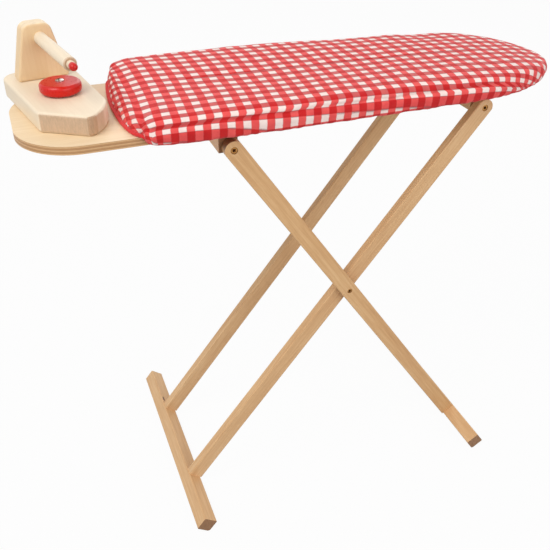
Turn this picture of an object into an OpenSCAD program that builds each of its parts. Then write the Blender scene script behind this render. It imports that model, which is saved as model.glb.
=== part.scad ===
// Folding toy ironing board with a padded checked cover, and the wooden toy iron on its rest.
// Millimetres. +X runs from the iron rest to the tip, -Y is the near side and +Z is up.
// The origin is on the floor, below the middle of the board's whole outline.

/* [Board] */
// Length of the plywood panel from the rest end to its tip
panel_l = 718; // [600:1:900]
// Width of the plywood panel
panel_w = 190; // [150:1:240]
// Thickness of the plywood panel
panel_t = 10; // [8:0.5:14]
// Radius of the two corners at the rest end
rest_corner_r = 70; // [30:1:74]
// Length over which the panel narrows to its tip
nose_l = 156; // [110:1:220]
// Length of bare panel on which the iron stands
rest_l = 121; // [90:1:160]

/* [Padding and cover] */
// Thickness of the foam padding on the panel
pad_t = 19; // [10:1:30]
// How far the padded cover stands proud of the panel's edge
cover_wall = 17; // [8:1:25]
// Height of the cover's crown above the padding
crown_h = 5; // [3:0.5:8]
// Share of the padding's height that is pressed away at the tip
tip_thin_share = 0.6; // [0:0.05:0.65]
// How far the cover is drawn in under the panel
tuck_in = 7; // [4:0.5:12]
// Thickness of the cloth drawn in under the panel
tuck_t = 3.5; // [2:0.5:6]
// Radius of the cover's two corners beside the rest
cover_corner_r = 30; // [20:1:45]
// Depth of the gathers in the cover's end wall
gather = 2.2; // [0:0.1:4]
// Width and height of the binding round the cover's end
binding = 5; // [3:0.5:8]

/* [Stand] */
// Height of the panel's underside above the floor
stand_h = 598; // [480:1:700]
// Distance of the upper pivots below the panel
pivot_drop = 20.5; // [18:0.5:30]
// Distance between the upper pivots along the board
pivot_span = 359.3; // [300:0.1:430]
// Place of the fixed hinge along the board
outer_x = -128.5; // [-180:0.5:-90]
// Lean of the outer frame from the floor, in degrees
outer_lean = 55.4; // [50:0.1:62]
// Lean of the inner frame from the floor, in degrees
inner_lean = 52.1; // [48:0.1:60]
// Width of a leg
leg_w = 23.6; // [18:0.1:30]
// Thickness of a leg
leg_t = 13; // [9:0.5:18]
// Half the width over the inner frame's legs
inner_half = 85.6; // [60:0.1:100]
// Gap between an inner and an outer leg
side_gap = 1.4; // [1:0.1:3]
// Length of the foot bars
foot_l = 351; // [250:1:420]
// Depth of a foot bar, measured along the leg
foot_d = 21.5; // [16:0.5:30]
// Width of a foot bar, measured across the leg
foot_w = 22.3; // [16:0.1:30]
// How far the foot bar is set towards the leg's upper side
foot_shift = 1.8; // [0:0.1:4]
// Height planed off the foot bar's lowest edge
foot_flat = 1.6; // [1:0.1:3]
// Rounding of the long wood edges
edge_r = 1.4; // [0.5:0.1:3]

/* [Cross pieces under the board] */
// Width of the hinge batten and of the crossbar, along the board
batten_w = 24; // [20:1:34]
// How far the batten reaches below its pivot
batten_low = 7; // [6:0.5:12]
// How far the batten reaches beyond its pivot towards the rest
batten_back = 15; // [12:0.5:20]
// Thickness of the catch rail above the crossbar
rail_t = 6; // [4:0.5:10]
// Depth of the catch rail's lip, and its width
rail_lip = 8; // [6:0.5:12]
// Radius within which the crossbar's profile turns, and at least as far as its flat is high
crossbar_turn_r = 15.5; // [14:0.5:18]

/* [Screws] */
// Diameter of the pivot screws
pivot_d = 5; // [4:0.5:6]
// Head diameter of the screws at the top of the legs
top_head_d = 9; // [7:0.5:11]
// Diameter of the wood screws and of the screws in the crossing
wood_d = 4; // [3:0.5:5]
// Head diameter of the wood screws and of the screws in the crossing
wood_head_d = 7.4; // [6:0.2:10]
// Radial clearance of a leg on its pivot screw
run_gap = 0.1; // [0.05:0.01:0.2]

/* [Iron] */
// Length of the sole block
sole_l = 188; // [140:1:200]
// Thickness of the sole block
sole_t = 24; // [18:0.5:30]
// Width of the sole block at its heel
heel_w = 90; // [75:1:105]
// Width of the sole block at its shoulders
shoulder_w = 82; // [64:1:95]
// Length of the pointed nose in front of the shoulders
sole_nose_l = 40; // [25:1:55]
// How far the block and the heel plate are set to the near side of the handle's line
sole_shift = 2.6; // [0:0.1:4]
// Rounding of the block's edges
sole_edge_r = 3.5; // [1.5:0.5:3.5]
// Width of the heel plate at its foot
plate_w = 64; // [50:1:84]
// Width of the heel plate near its top
plate_top_w = 32; // [28:1:50]
// Height of the heel plate
plate_h = 66.5; // [60:0.5:80]
// Thickness of the heel plate
plate_t = 22; // [14:0.5:26]
// Distance from the nose to the heel plate's front face
plate_u = 144; // [120:1:154]
// Diameter of the handle
handle_d = 15.6; // [14:0.2:20]
// Free length of the handle
handle_l = 112; // [70:1:120]
// Height of the handle's middle above the block
handle_h = 49; // [38:1:60]
// Diameter of the peg in the handle's end
peg_d = 9.2; // [5:0.2:10]
// Bare length of the peg
peg_l = 7; // [2:0.5:10]
// Length of the peg's painted tip
tip_l = 8; // [4:0.5:12]
// Diameter of the turning knob
knob_d = 49; // [34:1:56]
// Thickness of the turning knob
knob_t = 12.5; // [7:0.5:16]
// Distance from the nose to the knob's middle
knob_u = 88; // [70:1:100]

/* [Hidden] */
$fn = 64;
// Overrun of every cut past the face it opens
over = 1;
// Gap between a soft piece and what it lies on
soft_gap = 0.3;
// Gap between two pieces that only rest on each other
rest_gap = 0.1;

// Heights and places along the board
panel_z = stand_h + panel_t;
pivot_z = stand_h - pivot_drop;
inner_x = outer_x + pivot_span;
board_x0 = -(panel_l + cover_wall) / 2;
nose_x = board_x0 + panel_l - nose_l;
cover_x0 = board_x0 + rest_l;
outer_half = inner_half + side_gap + leg_t;

// Distances from the upper pivots down to the crossing, from the triangle that they form
outer_arm = pivot_span * sin(inner_lean) / sin(inner_lean + outer_lean);
inner_arm = pivot_span * sin(outer_lean) / sin(inner_lean + outer_lean);
function leg_length(lean) =
    (pivot_z + foot_flat + (foot_shift - foot_w / 2) * cos(lean)) / sin(lean) - foot_d;

// Exponent of the tip's outline: 2 is an ellipse, and less is more pointed
nose_power = 2.1;
nose_steps = 28;
function nose_points(grow) = [
    for (i = [0:nose_steps])
        let (t = -90 + 180 * i / nose_steps)
        [nose_x + (nose_l + grow) * pow(abs(cos(t)), 2 / nose_power),
         sign(sin(t)) * (panel_w / 2 + grow) * pow(abs(sin(t)), 2 / nose_power)]
];

// Outline of the board, grown sideways, with its end at x0 and corners of radius r there
module board_outline(grow, x0, r) {
    half = panel_w / 2 + grow;
    polygon(nose_points(grow));
    translate([x0 + r, -half]) square([nose_x - x0 - r, 2 * half]);
    translate([x0, r - half]) square([r, 2 * (half - r)]);
    for (s = [-1, 1]) translate([x0 + r, s * (half - r)]) circle(r);
}

// Solid skinned over rings that have the same number of points, from the lowest ring to the highest.
// Where the last ring bends down to the tip, its nose is closed by strips between mirrored points.
module skin(rings, bent = false) {
    n = len(rings[0]);
    last = len(rings) - 1;
    tip = last * n + nose_steps / 2;
    nose = [
        for (i = [1:nose_steps / 2])
            [tip + i, tip - i, i < nose_steps / 2 ? tip - i - 1 : last * n + n - 1, tip + i + 1]
    ];
    sides = [
        for (k = [0:last - 1]) for (i = [0:n - 1])
            let (a = k * n + i, b = k * n + (i + 1) % n)
            each [[a, a + n, b], [b, a + n, b + n]]
    ];
    polyhedron([for (ring = rings) each ring],
        concat([[for (i = [0:n - 1]) i]], sides, bent ? concat([[tip, tip - 1, tip + 1]], nose) : [],
            [[for (i = [n - 1:-1:bent ? nose_steps + 1 : 0]) last * n + i]]));
}

// Fillet of a convex corner p between its neighbours a and b, drawn d inside the outline
fillet_steps = 8;
function unit(v) = v / norm(v);
function fillet(a, p, b, r, d) =
    let (
        u = unit(a - p), w = unit(b - p), half = acos(u * w) / 2,
        c = p + unit(u + w) * r / sin(half),
        mid = atan2(-(u + w)[1], -(u + w)[0]), sweep = 90 - half
    )
    [for (i = [0:fillet_steps])
        let (t = mid - sweep + 2 * sweep * i / fillet_steps)
        c + (r - d) * [cos(t), sin(t)]];
function filleted(points, radii, d = 0) =
    let (n = len(points))
    [for (i = [0:n - 1])
        each fillet(points[(i + n - 1) % n], points[i], points[(i + 1) % n], radii[i], d)];

// Rings of a slab of thickness t whose edges are rounded with radius r, as [height, inset] pairs
edge_steps = 4;
function rounded_slab_levels(t, r) = concat(
    [for (i = [edge_steps:-1:0]) let (a = 90 * i / edge_steps) [r * (1 - sin(a)), r * (1 - cos(a))]],
    [for (i = [0:edge_steps]) let (a = 90 * i / edge_steps) [t - r * (1 - sin(a)), r * (1 - cos(a))]]);

// Bar of width w and depth d along +X with rounded long edges
module eased_bar(l, w, d, r) {
    rotate([90, 0, 90]) linear_extrude(l) eased_rect(w, d, r);
}

module eased_rect(w, d, r) {
    square([w, d - 2 * r], center = true);
    square([w - 2 * r, d], center = true);
    for (sx = [-1, 1]) for (sy = [-1, 1])
        translate([sx * (w / 2 - r), sy * (d / 2 - r)]) circle(r, $fn = 24);
}

// Cross recess of a screw head, cut from the face at z = 0 downwards
recess_l_share = 0.55;
recess_w_share = 0.14;
recess_depth_share = 0.22;
module cross_recess(head) {
    for (a = [0, 90]) rotate(a + 45)
        translate([0, 0, over / 2 - recess_depth_share * head / 2])
            cube([recess_l_share * head, recess_w_share * head, recess_depth_share * head + over],
                center = true);
}

// Countersunk wood screw, head face at z = 0 and shank towards -Z
head_rim = 0.5;
module countersunk_screw(d, head, l) {
    cone = (head - d) / 2;
    difference() {
        rotate_extrude() polygon([
            [0, 0], [head / 2, 0], [head / 2, -head_rim], [d / 2, -head_rim - cone],
            [d / 2, -l + d], [d / 8, -l], [0, -l]
        ]);
        cross_recess(head);
    }
}

// Hole for that screw, with the same origin
module countersunk_hole(d, head, l, gap) {
    cone = (head - d) / 2;
    rotate_extrude() polygon([
        [0, over], [head / 2 + gap, over], [head / 2 + gap, -head_rim - gap],
        [d / 2 + gap, -head_rim - cone - gap], [d / 2 + gap, -l], [0, -l]
    ]);
}

// Frame in which +X runs down a leg from its pivot and +Z is the leg's upper side
module on_outer() {
    translate([outer_x, 0, pivot_z]) rotate([0, outer_lean, 0]) children();
}
module on_inner() {
    translate([inner_x, 0, pivot_z]) rotate([0, 180 - inner_lean, 0]) mirror([0, 0, 1]) children();
}

// Frame with its origin on the side s of the board at y = s * half and +Z pointing outwards
module facing_side(s, half) {
    translate([0, s * half, 0]) rotate([-s * 90, 0, 0]) children();
}

// Leg from its rounded top at the origin to its square end at x = l, middle plane at y = 0
module leg(l) {
    intersection() {
        rotate([90, 0, 0]) linear_extrude(leg_t, center = true) {
            circle(leg_w / 2);
            translate([0, -leg_w / 2]) square([l, leg_w]);
        }
        translate([-leg_w, 0, 0]) eased_bar(l + leg_w, leg_t, leg_w, edge_r);
    }
}

// Foot bar across a frame, seen in the frame of its legs
module foot_bar(l, lean) {
    difference() {
        translate([l, -foot_l / 2, 0]) rotate([-90, 0, 0]) linear_extrude(foot_l)
            translate([foot_d / 2, -foot_shift]) eased_rect(foot_d, foot_w, edge_r);
        children();
    }
}

// Depth to which the foot screws' heads are sunk, and their length
foot_screw_sink = 2;
foot_screw_l = 45;
module at_foot_screws(l, half) {
    for (s = [-1, 1]) translate([l + foot_d - foot_screw_sink, s * half, 0]) rotate([0, 90, 0]) children();
}
module foot_screws(l, half) {
    at_foot_screws(l, half) countersunk_screw(wood_d, wood_head_d, foot_screw_l);
}
module foot_screw_holes(l, half) {
    at_foot_screws(l, half) {
        countersunk_hole(wood_d, wood_head_d, foot_screw_l, 0);
        cylinder(h = foot_screw_sink + over, d = wood_head_d);
    }
}

// Everything below the floor, far enough to clear both frames
module below_floor() {
    translate([0, 0, -stand_h / 2]) cube([2 * panel_l, 2 * foot_l, stand_h], center = true);
}

outer_l = leg_length(outer_lean);
inner_l = leg_length(inner_lean);
outer_mid = outer_half - leg_t / 2;
inner_mid = inner_half - leg_t / 2;
pivot_screw_l = 42;
// Wood left beyond the tip of a screw that doesn't come through
tip_cover = 2;
crossing_screw_l = side_gap + 2 * leg_t - tip_cover;
// How far the screw heads lie below the wood's face
head_sink = 0.6;

module panel() color("BurlyWood") difference() {
    translate([0, 0, stand_h]) linear_extrude(panel_t) board_outline(0, board_x0, rest_corner_r);
    at_batten_screws() cylinder(h = batten_screw_l, d = wood_d);
    at_rail_screws() cylinder(h = rail_screw_l, d = wood_d);
}

// The padding stops short of the panel's edge, and behind the cover's end wall
pad_grow = -2;
end_wall = 6;
module padding_form(gap, z0, z1) {
    skin([for (top = [0, 1]) [
        for (p = soft_ring(pad_grow + gap, cover_x0 + end_wall - gap, cover_corner_r - end_wall, 0))
            [p[0], p[1], panel_z + (top == 0 ? z0 : z1 + pad_t * thinned(p[0]))]
    ]], bent = true);
}
module padding() color("WhiteSmoke") padding_form(0, rest_gap, rest_gap);

// Share of the padding's height that is left at the place x
thin_run = 60;
thin_power = 3;
function thinned(x) =
    let (k = (x - nose_x + thin_run) / (nose_l + cover_wall + thin_run))
    1 - tip_thin_share * pow(min(max(k, 0), 1), thin_power);
// How much further the cloth is drawn in at its lowest, beyond its own thickness
hem_draw = 2;

// How far the cover's edge is drawn in at the padding's top, and how far the crown runs on from there
shoulder_inset = 6;
crown_run = 40;
// Rings of the hem: shares of the height down to the cloth's underside, of its draw, and of the gathers
hem_shares = [[-1, 1, 0], [-0.74, 0.32, 0.2], [-0.37, 0.07, 0.3]];
// Rings of the wall: shares of the padding's thickness, of the shoulder's inset and of the gathers
wall_shares = [[0, 0, 1], [0.35, 0.1, 1], [0.7, 0.37, 0.7], [1, 1, 0.25]];
// Rings of the crown: shares of its height and of its run
crown_shares = [[0.55, 0.18], [0.88, 0.5], [1, 1]];
// Rings of the cover: height above the panel's top, inset, and how deep the gathers are there
cover_levels = concat(
    [for (e = hem_shares) [(panel_t + tuck_t) * e[0], (tuck_t + hem_draw) * e[1], e[2]]],
    [for (e = wall_shares) [pad_t * e[0], shoulder_inset * e[1], e[2]]],
    [for (e = crown_shares) [pad_t + crown_h * e[0], shoulder_inset + crown_run * e[1], 0]]);
corner_steps = 7;
end_steps = 26;
side_steps = 5;
// How far the stretched cloth bows outwards along a side, and along the end wall
side_bow = 1.5;
end_bow = 1;
function cover_side(s, half, x1) = [
    for (i = [1:side_steps - 1])
        let (t = s > 0 ? i / side_steps : 1 - i / side_steps)
        [nose_x + (x1 - nose_x) * t, s * (half + side_bow * sin(180 * t))]
];
// Gathers are folds along the height of the end wall, whose depth varies along it
gather_count = 9;
slow_gather_count = 5.6;
slow_gather_share = 0.4;
slow_gather_phase = 70;
function gather_at(y) =
    (1 - slow_gather_share) * cos(360 * gather_count * y / panel_w)
    + slow_gather_share * cos(360 * slow_gather_count * y / panel_w + slow_gather_phase);
// Ring round a soft piece, grown past the panel by grow, with its end at x0 and corners of radius r there
function soft_ring(grow, x0, r, gathers) =
    let (half = panel_w / 2 + grow, inner = half - r)
    concat(
        nose_points(grow),
        cover_side(1, half, x0 + r),
        [for (i = [0:corner_steps - 1])
            let (t = 90 + 90 * i / corner_steps) [x0 + r + r * cos(t), inner + r * sin(t)]],
        [for (i = [0:end_steps])
            let (y = inner - 2 * inner * i / end_steps)
            [x0 - end_bow * cos(90 * y / inner) + gathers * (1 + gather_at(y)) / 2, y]],
        [for (i = [1:corner_steps])
            let (t = 180 + 90 * i / corner_steps) [x0 + r + r * cos(t), -inner + r * sin(t)]],
        cover_side(-1, half, x0 + r));
function cover_ring(level) =
    let (d = level[1], r = max(cover_corner_r - d, cover_corner_r / 4))
    [for (p = soft_ring(cover_wall - d, cover_x0 + d, r, gather * level[2]))
        [p[0], p[1], panel_z + level[0] * (level[0] > 0 ? thinned(p[0]) : 1)]];

module cover() color("Crimson") difference() {
    skin([for (level = cover_levels) cover_ring(level)], bent = true);
    // Room for the panel, which runs on to the left as the rest
    translate([0, 0, stand_h - soft_gap]) linear_extrude(panel_t + 2 * soft_gap)
        board_outline(soft_gap, board_x0 - over, rest_corner_r);
    // Room for the padding
    padding_form(soft_gap, 0, rest_gap + soft_gap);
    // The opening left below, between the drawn-in edges
    translate([0, 0, stand_h - 2 * tuck_t]) linear_extrude(2 * tuck_t)
        board_outline(-tuck_in, board_x0 - over, rest_corner_r);
    // The end wall stands on the panel, so nothing hangs below the panel there
    translate([board_x0 - over, -panel_w, stand_h - 2 * tuck_t])
        cube([rest_l + over + end_wall, 2 * panel_w, 2 * tuck_t + panel_t + soft_gap]);
}

// Binding sewn along the foot of the end wall, round both corners
binding_gap = end_bow + soft_gap;
module cover_binding() color("FireBrick") translate([0, 0, panel_z + soft_gap]) linear_extrude(binding)
    intersection() {
        difference() {
            board_outline(cover_wall + binding, cover_x0 - binding, cover_corner_r + binding);
            board_outline(cover_wall + binding_gap, cover_x0 - binding_gap, cover_corner_r + binding_gap);
        }
        translate([cover_x0 - 2 * binding, -panel_w / 2])
            square([cover_corner_r, panel_w]);
    }

// The two cross pieces end just inside the legs that pivot beside them
washer_t = 0.8;
batten_half = outer_half - leg_t - washer_t - 2 * rest_gap;
batten_screw_l = panel_t - tip_cover;
rail_screw_l = panel_t - tip_cover;
module at_batten_screws() {
    for (s = [-1, 1])
        translate([outer_x - batten_back + batten_w / 2, s * batten_half / 2, stand_h]) children();
}

module hinge_batten() color("Tan") difference() {
    translate([outer_x - batten_back, -batten_half, pivot_z - batten_low])
        cube([batten_w, 2 * batten_half, pivot_drop + batten_low]);
    at_outer_pivots(-1) pivot_screw_hole(0);
    at_outer_pivots(1) pivot_screw_hole(0);
    at_batten_screws() mirror([0, 0, 1]) translate([0, 0, pivot_drop + batten_low - head_sink])
        countersunk_hole(wood_d, wood_head_d, pivot_drop + batten_low, 0);
}

module batten_screws() color("Gray")
    at_batten_screws() mirror([0, 0, 1]) translate([0, 0, pivot_drop + batten_low - head_sink])
        countersunk_screw(wood_d, wood_head_d, pivot_drop + batten_low - head_sink + batten_screw_l);

module at_outer_pivots(s) {
    translate([outer_x, 0, pivot_z]) facing_side(s, outer_half - head_sink) children();
}
module pivot_screw_hole(gap) {
    countersunk_hole(pivot_d, top_head_d, pivot_screw_l + over, gap);
}

// Rail under the panel: its flat bears on the crossbar and its lip stops the crossbar
rail_end_gap = 6;
rail_half = inner_half - leg_t - rail_end_gap;
rail_screw_share = 0.7;
rail_front = 16;
rail_gap = 0.5;
module catch_rail() color("Tan") difference() {
    union() {
        translate([inner_x - batten_back - rail_gap - rail_lip, -rail_half, stand_h - rail_t])
            cube([batten_back + rail_gap + rail_lip + rail_front, 2 * rail_half, rail_t]);
        translate([inner_x - batten_back - rail_gap - rail_lip, -rail_half, stand_h - rail_t - rail_lip])
            cube([rail_lip, 2 * rail_half, rail_t + rail_lip]);
    }
    at_rail_screws() mirror([0, 0, 1]) translate([0, 0, rail_t - head_sink])
        countersunk_hole(wood_d, wood_head_d, rail_t, 0);
}
module at_rail_screws() {
    for (s = [-1, 1])
        translate([inner_x + rail_front / 2, s * rail_half * rail_screw_share, stand_h]) children();
}
module rail_screws() color("Gray")
    at_rail_screws() mirror([0, 0, 1]) translate([0, 0, rail_t - head_sink])
        countersunk_screw(wood_d, wood_head_d, rail_t - head_sink + rail_screw_l);

module outer_pivot_screw(s) color("Gray")
    at_outer_pivots(s) countersunk_screw(pivot_d, top_head_d, pivot_screw_l);

module outer_washer(s) color("Silver")
    translate([outer_x, 0, pivot_z]) facing_side(s, batten_half) difference() {
        cylinder(h = washer_t, d = 2 * pivot_d);
        translate([0, 0, -over]) cylinder(h = washer_t + 2 * over, d = pivot_d);
    }

module outer_leg(s) color("Tan") difference() {
    on_outer() translate([0, s * outer_mid, 0]) leg(outer_l);
    at_outer_pivots(s) pivot_screw_hole(run_gap);
    at_crossing(s) countersunk_hole(wood_d, wood_head_d, crossing_screw_l, run_gap);
    on_outer() foot_screw_holes(outer_l, outer_mid);
}

// The screws in the crossing turn with the inner frame
module at_crossing(s) {
    on_inner() translate([inner_arm, 0, 0]) facing_side(s, outer_half - head_sink) children();
}
module crossing_screw(s) color("Gray")
    at_crossing(s) countersunk_screw(wood_d, wood_head_d, crossing_screw_l);
module crossing_washer(s) color("Silver")
    on_inner() translate([inner_arm, 0, 0]) facing_side(s, inner_half) difference() {
        cylinder(h = side_gap - 2 * rest_gap, d = 2.4 * wood_d);
        translate([0, 0, -over]) cylinder(h = side_gap + 2 * over, d = wood_d);
    }

module outer_foot_bar() color("Tan") difference() {
    on_outer() foot_bar(outer_l, outer_lean) foot_screw_holes(outer_l, outer_mid);
    below_floor();
}
module outer_foot_screws() color("Gray") on_outer() foot_screws(outer_l, outer_mid);

module inner_leg(s) color("Tan") difference() {
    on_inner() translate([0, s * inner_mid, 0]) leg(inner_l);
    at_inner_tops(s) pivot_screw_hole(0);
    at_crossing(s) cylinder(h = 2 * crossing_screw_l, d = wood_d, center = true);
    on_inner() foot_screw_holes(inner_l, inner_mid);
}
module inner_foot_bar() color("Tan") difference() {
    on_inner() foot_bar(inner_l, inner_lean) foot_screw_holes(inner_l, inner_mid);
    below_floor();
}
module inner_foot_screws() color("Gray") on_inner() foot_screws(inner_l, inner_mid);

module at_inner_tops(s) {
    translate([inner_x, 0, pivot_z]) facing_side(s, inner_half - head_sink) children();
}
crossbar_half = inner_half - leg_t;
crossbar_high = pivot_drop - rail_t - rail_gap;
module inner_crossbar() color("Tan") difference() {
    translate([inner_x, crossbar_half, pivot_z]) rotate([90, 0, 0]) linear_extrude(2 * crossbar_half)
        intersection() {
            translate([-batten_back, -batten_low]) square([batten_w, batten_low + crossbar_high]);
            circle(max(crossbar_turn_r, crossbar_high));
        }
    at_inner_tops(-1) pivot_screw_hole(0);
    at_inner_tops(1) pivot_screw_hole(0);
}
module crossbar_screw(s) color("Gray")
    at_inner_tops(s) countersunk_screw(pivot_d, top_head_d, pivot_screw_l);

// The iron stands on the rest, turned so that its nose points to the near side
nose_from_end = 78.7;
nose_from_middle = 75;
iron_turn = -79.6;
// Frame of the iron: origin at the nose on the block's underside, +X from heel to nose
module on_iron() {
    translate([board_x0 + nose_from_end, -nose_from_middle, panel_z + rest_gap])
        rotate(iron_turn) children();
}
// Outline of the block: its far shoulder is a long curve, and its near one a plain corner
far_nose_shares = [[0.015, 0.03], [-0.01, 0.235], [-0.4, 0.655], [-0.95, 1]];
far_shoulder = shoulder_w / 2 - sole_shift;
sole_points = concat(
    [for (e = far_nose_shares) [e[0] * sole_nose_l, e[1] * far_shoulder]],
    [[-sole_l, heel_w / 2 - sole_shift], [-sole_l, -heel_w / 2 - sole_shift],
     [-sole_nose_l, -shoulder_w / 2 - sole_shift]]);
nose_r = 4;
far_nose_r = 16;
far_curve_r = 30;
far_shoulder_r = 40;
heel_r = 20;
near_shoulder_r = 6;
sole_radii = [nose_r, far_nose_r, far_curve_r, far_shoulder_r, heel_r, heel_r, near_shoulder_r];
heel_screw_sink = 3;
heel_screw_l = 40;
module at_heel_screws() {
    for (s = [-1, 1]) translate([-plate_u - plate_t / 2, s * plate_w / 4 - sole_shift, heel_screw_sink])
        mirror([0, 0, 1]) children();
}
module iron_sole() color("Wheat") on_iron() difference() {
    skin([for (level = rounded_slab_levels(sole_t, sole_edge_r))
        [for (p = filleted(sole_points, sole_radii, level[1])) [p[0], p[1], level[0]]]]);
    at_heel_screws() {
        countersunk_hole(wood_d, wood_head_d, heel_screw_l, 0);
        cylinder(h = heel_screw_sink + over, d = wood_head_d);
    }
    translate([-knob_u, 0, sole_t - knob_screw_l + knob_t + knob_gap])
        cylinder(h = sole_t, d = knob_screw_d);
}

// Heel plate: its outline stands across the block, with a rounded top
plate_top_r = 11;
plate_foot_r = 3.2;
plate_edge_r = 2.5;
plate_points = [
    [-plate_w / 2 - sole_shift, 0], [plate_w / 2 - sole_shift, 0],
    [plate_top_w / 2 - sole_shift, plate_h], [-plate_top_w / 2 - sole_shift, plate_h]
];
handle_seat = 10;
module iron_heel_plate() color("Wheat") on_iron() translate([-plate_u - plate_t, 0, sole_t]) difference() {
    rotate([90, 0, 90]) skin([for (level = rounded_slab_levels(plate_t, plate_edge_r))
        [for (p = filleted(plate_points, [plate_foot_r, plate_foot_r, plate_top_r, plate_top_r], level[1]))
            [p[0], max(p[1], 0), level[0]]]]);
    translate([plate_t - handle_seat, 0, handle_h]) rotate([0, 90, 0])
        cylinder(h = handle_seat + over, d = handle_d);
    translate([head_sink, 0, handle_h]) rotate([0, -90, 0])
        countersunk_hole(wood_d, wood_head_d, plate_t, 0);
    for (s = [-1, 1]) translate([plate_t / 2, s * plate_w / 4 - sole_shift, -over])
        cylinder(h = heel_screw_l - sole_t + heel_screw_sink + over, d = wood_d);
}
module heel_screws() color("Gray") on_iron()
    at_heel_screws() countersunk_screw(wood_d, wood_head_d, heel_screw_l);
handle_screw_l = 40;
module handle_screw() color("Gray") on_iron()
    translate([-plate_u - plate_t + head_sink, 0, sole_t + handle_h]) rotate([0, -90, 0])
        countersunk_screw(wood_d, wood_head_d, handle_screw_l);

// Handle, with its end eased and drilled for the peg
handle_ease = 1.2;
peg_seat = 12;
module iron_handle() color("Wheat") on_iron()
    translate([-plate_u - handle_seat, 0, sole_t + handle_h]) rotate([0, 90, 0]) {
        full = handle_l + handle_seat;
        rotate_extrude() difference() {
            polygon([
                [0, 0], [handle_d / 2, 0], [handle_d / 2, full - handle_ease],
                [handle_d / 2 - handle_ease, full], [0, full]
            ]);
            translate([0, full - peg_seat]) square([peg_d / 2, peg_seat + over]);
            translate([0, -over]) square([wood_d / 2, handle_screw_l - plate_t + handle_seat + 2 * over]);
        }
    }
module on_handle_end() {
    on_iron() translate([-plate_u + handle_l, 0, sole_t + handle_h]) rotate([0, 90, 0]) children();
}
module handle_peg() color("Wheat") on_handle_end()
    translate([0, 0, -peg_seat]) cylinder(h = peg_seat + peg_l, d = peg_d);
module peg_tip() color("Red") on_handle_end() translate([0, 0, peg_l]) rotate_extrude() intersection() {
    translate([0, tip_l - peg_d / 2]) union() {
        circle(peg_d / 2);
        translate([0, -tip_l]) square([peg_d / 2, tip_l]);
    }
    square([peg_d, tip_l]);
}

// Knob that turns on its screw above the block, on a washer
knob_gap = 1.2;
knob_edge_r = 4.5;
knob_screw_d = 5;
knob_head_d = 10;
knob_head_h = 2.6;
knob_screw_l = 30;
module on_knob() {
    on_iron() translate([-knob_u, 0, sole_t]) children();
}
module iron_knob() color("Red") on_knob() translate([0, 0, knob_gap]) rotate_extrude($fn = 96) difference() {
    union() {
        square([knob_d / 2 - knob_edge_r, knob_t]);
        translate([0, knob_edge_r]) square([knob_d / 2, knob_t - 2 * knob_edge_r]);
        for (z = [knob_edge_r, knob_t - knob_edge_r])
            translate([knob_d / 2 - knob_edge_r, z]) circle(knob_edge_r, $fn = 32);
    }
    translate([-over, -over]) square([knob_screw_d / 2 + run_gap + over, knob_t + 2 * over]);
}
module knob_washer() color("Silver") on_knob() difference() {
    cylinder(h = knob_gap - rest_gap, d = 3 * knob_screw_d);
    translate([0, 0, -over]) cylinder(h = knob_gap + 2 * over, d = knob_screw_d);
}
module knob_screw() color("Silver") on_knob() translate([0, 0, knob_gap + knob_t + rest_gap]) difference() {
    rotate_extrude() {
        intersection() {
            translate([0, knob_head_h - knob_head_d]) circle(knob_head_d);
            square([knob_head_d / 2, knob_head_h]);
        }
        translate([0, knob_gap - knob_screw_l]) square([knob_screw_d / 2, knob_screw_l - knob_gap + over]);
    }
    translate([0, 0, knob_head_h]) cross_recess(knob_head_d);
}

panel();
padding();
cover();
cover_binding();
hinge_batten();
batten_screws();
catch_rail();
rail_screws();
outer_pivot_screw(-1);  // outer_pivot_screw_near
outer_pivot_screw(1);  // outer_pivot_screw_far
outer_washer(-1);  // outer_washer_near
outer_washer(1);  // outer_washer_far
outer_leg(-1);  // outer_leg_near
outer_leg(1);  // outer_leg_far
outer_foot_bar();
outer_foot_screws();
inner_leg(-1);  // inner_leg_near
inner_leg(1);  // inner_leg_far
inner_foot_bar();
inner_foot_screws();
inner_crossbar();
crossbar_screw(-1);  // crossbar_screw_near
crossbar_screw(1);  // crossbar_screw_far
crossing_screw(-1);  // crossing_screw_near
crossing_screw(1);  // crossing_screw_far
crossing_washer(-1);  // crossing_washer_near
crossing_washer(1);  // crossing_washer_far
iron_sole();
iron_heel_plate();
iron_handle();
handle_peg();
peg_tip();
heel_screws();
handle_screw();
iron_knob();
knob_washer();
knob_screw();
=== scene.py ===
import math
import bmesh
import bpy
import numpy as np
from mathutils import Matrix, Vector, noise


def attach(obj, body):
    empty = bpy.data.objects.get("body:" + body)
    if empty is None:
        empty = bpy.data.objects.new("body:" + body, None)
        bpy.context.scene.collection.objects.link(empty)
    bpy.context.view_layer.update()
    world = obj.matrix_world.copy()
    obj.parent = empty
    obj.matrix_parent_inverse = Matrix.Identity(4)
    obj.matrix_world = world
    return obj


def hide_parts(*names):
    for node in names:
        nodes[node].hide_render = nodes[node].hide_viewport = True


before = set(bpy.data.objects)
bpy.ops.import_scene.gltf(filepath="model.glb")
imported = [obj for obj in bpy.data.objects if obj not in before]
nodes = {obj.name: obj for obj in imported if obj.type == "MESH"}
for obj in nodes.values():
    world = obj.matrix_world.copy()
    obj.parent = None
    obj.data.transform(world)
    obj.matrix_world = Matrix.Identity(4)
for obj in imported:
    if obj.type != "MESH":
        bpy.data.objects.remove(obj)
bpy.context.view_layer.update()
scene = bpy.context.scene
scene.view_settings.view_transform = "Standard"

MM = 0.001

# Sizes in mm and directions, as in the CAD
PANEL_L, PANEL_W, PANEL_T = 718.0, 190.0, 10.0
NOSE_L, NOSE_POWER, REST_L = 156.0, 2.1, 121.0
WALL, PAD_T, CROWN = 17.0, 19.0, 5.0
PANEL_Z = 608.0
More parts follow.
